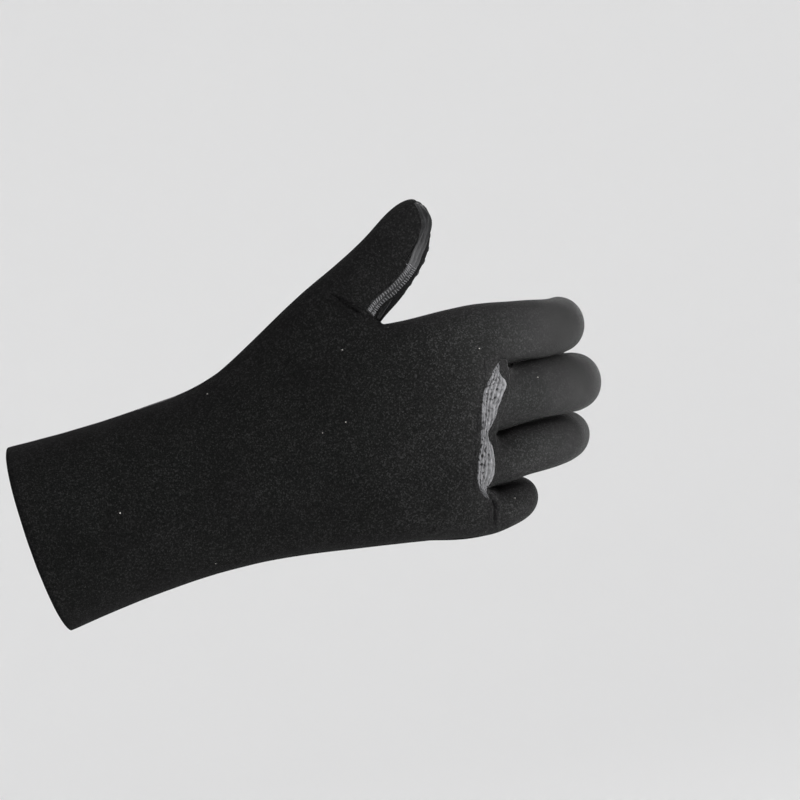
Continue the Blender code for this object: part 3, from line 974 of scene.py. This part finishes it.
class GLOVE_OT_thumb_strip(bpy.types.Operator):
    """Builds the rubber strip over the thumb's seam"""

    bl_idname = "glove.thumb_strip"
    bl_label = "Thumb Strip"

    def execute(self, context):
        rubber = context.scene.glove_rubber
        base, tree = thumb_seam()
        frames = {}

        def strip_at(along):
            key = round(along, 5)
            if key not in frames:
                frames[key] = strip_frame(tree, along)
            return frames[key]

        def place_of(across, along):
            place, normal, _, aside, width, _ = strip_at(along)
            return round_thumb(tree, place, normal, aside, across * width)

        def lift_of(across, along):
            width, paleness = strip_at(along)[-2:]
            full = soft_edge(across, width, 0.8 * MM) * soft_edge(along, 1.0, 0.03)
            lines = 0.0
            if along < STITCHED_FROM:
                offs = [(across - at) * width / STRIP_LINE_WIDTH for at in STRIP_LINES]
                lines = sum(math.exp(-off * off) for off in offs)
            height = rubber.strip_height * full - 0.15 * MM + 0.16 * MM * lines * full
            return height, (paleness * (1.0 - 0.5 * lines) + 0.50 * lines) * (0.3 + 0.7 * full)

        bm = spread_film(STRIP_GRID, place_of, lift_of, STRIP_EDGE_ROUNDS)
        seam = [strip_at(step / 40.0)[0] for step in range(8, 41)]
        for face in base.faces:
            away = min((face.calc_center_median() - place).length for place in seam)
            face.material_index = 1 if away < rubber.knit_margin else 0
        add_under(bm, base)
        face = spread_rubber("liquid_rubber_dark", rubber.strip_dark, rubber.strip_pale, 0.5, 300.0)
        knit = bpy.data.materials["nylon_jersey_back"]
        finished(bm, "glove_thumb_strip", "seam_strip", (face, knit), "thumb_strip")
        return {"FINISHED"}


class GLOVE_OT_thumb_stitches(bpy.types.Operator):
    """Builds the two rows of stitches on the lower half of the thumb's seam"""

    bl_idname = "glove.thumb_stitches"
    bl_label = "Thumb Stitches"

    def execute(self, context):
        rubber = context.scene.glove_rubber
        base, tree = thumb_seam()
        base.free()
        covered = surface_tree("glove_thumb_strip", "glove_back", "glove_palm")
        stitched = STITCHED_TO - STITCHED_FROM
        places = [strip_frame(tree, STITCHED_FROM + stitched * step / STITCH_SAMPLES)[0]
                  for step in range(STITCH_SAMPLES + 1)]
        length = sum((b - a).length for a, b in zip(places, places[1:]))
        count = round(length / rubber.stitch_pitch)
        curve = bpy.data.curves.new("stitches", "CURVE")
        curve.dimensions = "3D"
        curve.bevel_depth = rubber.thread_width / 2.0
        curve.bevel_resolution = 1
        curve.use_fill_caps = True
        for stitch in range(count + 1):
            along = STITCHED_FROM + stitched * stitch / count
            place, normal, heading, aside, width, _ = strip_frame(tree, along)
            for low, high, lean in STITCH_ROWS:
                lean += 0.9 * noise.noise(Vector((stitch * 0.9, low * 9.0, 2.2)))
                low += 0.16 * noise.noise(Vector((stitch * 0.7, low * 9.0, 7.9)))
                rung = []
                for step in range(RUNG_POINTS):
                    t = step / (RUNG_POINTS - 1.0)
                    step_on = place + heading * (lean * (t - 0.5) * rubber.stitch_pitch)
                    reach = width * (low + (high - low) * t)
                    on, up = round_thumb(covered, step_on, normal, aside, reach)
                    lift = rubber.thread_width * (0.45 - 0.9 * abs(2.0 * t - 1.0) ** 4)
                    rung.append(on + up * lift)
                spline = curve.splines.new("POLY")
                spline.points.add(len(rung) - 1)
                for point, co in zip(spline.points, rung):
                    point.co = (*co, 1.0)
        bm = as_bmesh(linked("stitches", curve))
        bmesh.ops.remove_doubles(bm, verts=bm.verts, dist=MERGE)
        thread = bonded_thread(rubber.thread_colour)
        finished(bm, "glove_thumb_stitches", "seam_strip", (thread,))
        return {"FINISHED"}


def evenly_along(points, pitch):
    """Places at equal distances on a line through the points, each with the line's direction."""
    places, carried = [], 0.0
    for start, end in zip(points, points[1:]):
        step = end - start
        at = carried
        while at < step.length:
            places.append((start + step * (at / step.length), step.normalized()))
            at += pitch
        carried = at - step.length
    return places


def smooth_line(points, cuts=6):
    """Points of a soft curve through the given ones."""
    line = []
    padded = [points[0] * 2.0 - points[1], *points, points[-1] * 2.0 - points[-2]]
    for before, start, end, after in zip(padded, padded[1:], padded[2:], padded[3:]):
        for step in range(cuts):
            line.append(curve_point(before, start, end, after, step / cuts))
    line.append(points[-1])
    return line


def ring_mesh(outer, hole, height, segments):
    """One printed ring with a rounded top, turned from its section and closed below."""
    middle, half = (outer + hole) / 4.0, (outer - hole) / 4.0
    section = [(middle + half * across, height * up) for across, up in RING_SECTION]
    return as_mesh(turned(section, True, segments), "ring")


def join_rings(template, seats):
    """All copies of the ring in one mesh, each standing on its seat: a point and a normal."""
    bm = bmesh.new()
    for place, normal in seats:
        before = len(bm.verts)
        bm.from_mesh(template)
        bm.verts.ensure_lookup_table()
        turn = normal.to_track_quat("Z", "Y").to_matrix().to_4x4()
        bmesh.ops.transform(bm, matrix=Matrix.Translation(place) @ turn, verts=bm.verts[before:])
    bpy.data.meshes.remove(template)
    return bm


class GLOVE_OT_palm_rings(bpy.types.Operator):
    """Prints the large silicone rings on the palm"""

    bl_idname = "glove.palm_rings"
    bl_label = "Palm Rings"

    def execute(self, context):
        grip = context.scene.glove_grip
        tree = surface_tree("glove_palm")
        edges = surface_tree("glove_back", "glove_thumb_strip")
        first, second = (Vector((math.cos(turn), math.sin(turn))) * grip.palm_pitch
                         for turn in (PALM_GRID_TURN, PALM_GRID_TURN + math.pi / 3.0))
        steps = range(-PALM_GRID_REACH, PALM_GRID_REACH + 1)
        towards_back = Vector((0.0, -1.0, 0.0))
        seats = []
        for i, j in itertools.product(steps, steps):
            spot = first * i + second * j + Vector(PALM_GRID_MIDDLE)
            if not PALM_RINGS_FROM < spot.x < PALM_RINGS_TO:
                continue
            start = Vector((spot.x, PALM_RAY_START, spot.y))
            place, normal, _, _ = tree.ray_cast(start, towards_back)
            if place is None or normal.y < PALM_FACING or not 0.0 <= place.y <= PALM_DEEPEST:
                continue
            if edges.find_nearest(place, grip.palm_ring * PALM_SEAM_SHARE)[0] is None:
                seats.append((place, normal))
        near = grip.palm_pitch * PALM_NEAR
        seats = [seat for seat in seats
                 if sum((seat[0] - other).length < near for other, _ in seats) > PALM_FEWEST]
        template = ring_mesh(grip.palm_ring, grip.palm_hole, grip.height, PALM_RING_SIDES)
        bm = join_rings(template, seats)
        finished(bm, "glove_palm_rings", "palm_neoprene", (printed_silicone(grip.colour),))
        return {"FINISHED"}


class GLOVE_OT_finger_rings(bpy.types.Operator):
    """Prints the small silicone rings on the fronts of the fingers and the thumb"""

    bl_idname = "glove.finger_rings"
    bl_label = "Finger Rings"

    def execute(self, context):
        grip = context.scene.glove_grip
        tree = surface_tree("glove_palm")
        strip = surface_tree("glove_thumb_strip")
        backs = surface_tree("glove_back", "glove_middle_back", "glove_ring_back")
        rays = []
        side = Vector((0.0, 0.0, 1.0))
        for width, across, points in GRIP_LINES:
            line = smooth_line([Vector(p) * MM for p in points])
            for index, (place, along) in enumerate(evenly_along(line, grip.finger_pitch / 2.0)):
                palm = side.cross(along).normalized()
                rays += ring_rays(place, along, palm, width * MM, across, index)
        line = smooth_line([Vector(p) * MM for p, _ in THUMB_LINE])
        palms = smooth_line([Vector(d) for _, d in THUMB_LINE])
        places = evenly_along(line, grip.finger_pitch / 2.0)
        for index, (place, along) in enumerate(places):
            palm = palms[min(len(palms) - 1, index * len(palms) // len(places))]
            rays += ring_rays(place, along, palm.normalized(), THUMB_BREADTH * MM, 3, index)
        seats = []
        for start, direction in rays:
            place, normal, _, _ = tree.ray_cast(start, direction, RAY_REACH)
            if place is None or normal.dot(direction) > RING_FACING:
                continue
            if strip.find_nearest(place, grip.strip_margin)[0] is not None:
                continue
            if backs.find_nearest(place, grip.seam_margin)[0] is not None:
                continue
            if all((place - other).length > grip.finger_ring * RING_CLEAR for other, _ in seats):
                seats.append((place, normal))
        template = ring_mesh(grip.finger_ring, grip.finger_hole, grip.height, FINGER_RING_SIDES)
        bm = join_rings(template, seats)
        material = bpy.data.materials["printed_silicone"]
        finished(bm, "glove_finger_rings", "palm_neoprene", (material,))
        return {"FINISHED"}


def ring_rays(place, along, palm, width, across, index):
    """Rays at one place of a finger, from outside on its palm side towards its middle."""
    side = along.cross(palm).normalized()
    rays = []
    for angle in RING_ANGLES[across][index % 2]:
        lean = math.radians(angle)
        out = palm * math.cos(lean) + side * math.sin(lean)
        rays.append((place + out * (width * RAY_START), -out))
    return rays


class GLOVE_OT_stage(bpy.types.Operator):
    """Builds the backdrop, the lights and the camera"""

    bl_idname = "glove.stage"
    bl_label = "Stage"

    def execute(self, context):
        settings = context.scene.glove_stage
        low, high = CAD_BOX
        middle = (low + high) / 2.0
        bm = turned(SWEEP, False, SWEEP_STEPS)
        bmesh.ops.translate(bm, verts=bm.verts, vec=(middle.x, middle.y, low.z - FLOOR_DROP))
        for face in bm.faces:
            face.smooth = True
        backdrop = linked("backdrop", as_mesh(bm, "backdrop"))
        smooth = backdrop.modifiers.new("smooth", "SUBSURF")
        smooth.levels = smooth.render_levels = 2
        shade = linear(settings.backdrop)
        paper = new_material(
            "backlit_paper", 0.9, Base_Color=shade, Emission_Color=shade,
            Emission_Strength=PAPER_GLOW)[0]
        backdrop.data.materials.append(paper)

        world = bpy.data.worlds.new("studio")
        world.use_nodes = True
        room = world.node_tree.nodes["Background"]
        room.inputs["Color"].default_value = linear(ROOM_LIGHT)
        room.inputs["Strength"].default_value = ROOM_STRENGTH
        context.scene.world = world
        context.scene.view_settings.view_transform = "Standard"

        for name, spot, size, power in LAMPS:
            light = bpy.data.lights.new(name, "AREA")
            light.shape = "DISK"
            light.size = size
            light.energy = power
            lamp = linked(name, light)
            lamp.location = middle + Vector(spot)
            lamp.rotation_mode = "QUATERNION"
            lamp.rotation_quaternion = Vector(spot).to_track_quat("Z", "Y")
            lamp.visible_camera = False

        place, right, upward, back = camera_axes(settings)
        data = bpy.data.cameras.new("photo_camera")
        data.lens = settings.lens
        data.sensor_width = SENSOR_WIDTH
        data.clip_start, data.clip_end = 0.05, 20.0
        camera = linked("photo_camera", data)
        turn = Matrix((right, upward, back)).transposed()
        camera.matrix_world = Matrix.Translation(place) @ turn.to_4x4()
        context.scene.camera = camera
        return {"FINISHED"}


OPERATORS = (
    GLOVE_OT_panels,
    GLOVE_OT_knuckle_band,
    GLOVE_OT_thumb_strip,
    GLOVE_OT_thumb_stitches,
    GLOVE_OT_palm_rings,
    GLOVE_OT_finger_rings,
    GLOVE_OT_stage,
)
SETTINGS = {
    "glove_fabric": GloveFabricSettings,
    "glove_rubber": GloveRubberSettings,
    "glove_grip": GloveGripSettings,
    "glove_stage": GloveStageSettings,
}


class GLOVE_PT_sidebar(bpy.types.Panel):
    """Lists the steps that build the glove and their settings"""

    bl_idname = "GLOVE_PT_sidebar"
    bl_label = "Neoprene Glove"
    bl_space_type = "VIEW_3D"
    bl_region_type = "UI"
    bl_category = "Glove"

    def draw(self, context):
        for operator in OPERATORS:
            self.layout.operator(operator.bl_idname)
        for name, group in SETTINGS.items():
            box = self.layout.box()
            for key in group.__annotations__:
                box.prop(getattr(context.scene, name), key)


def register():
    for group in SETTINGS.values():
        bpy.utils.register_class(group)
    for operator in OPERATORS:
        bpy.utils.register_class(operator)
    bpy.utils.register_class(GLOVE_PT_sidebar)
    for name, group in SETTINGS.items():
        setattr(bpy.types.Scene, name, bpy.props.PointerProperty(type=group))


def unregister():
    for name in SETTINGS:
        delattr(bpy.types.Scene, name)
    bpy.utils.unregister_class(GLOVE_PT_sidebar)
    for operator in reversed(OPERATORS):
        bpy.utils.unregister_class(operator)
    for group in SETTINGS.values():
        bpy.utils.unregister_class(group)


def main():
    register()
    bpy.ops.glove.panels()
    bpy.ops.glove.knuckle_band()
    bpy.ops.glove.thumb_strip()
    bpy.ops.glove.thumb_stitches()
    bpy.ops.glove.palm_rings()
    bpy.ops.glove.finger_rings()
    bpy.ops.glove.stage()


if __name__ == "__main__":
    main()
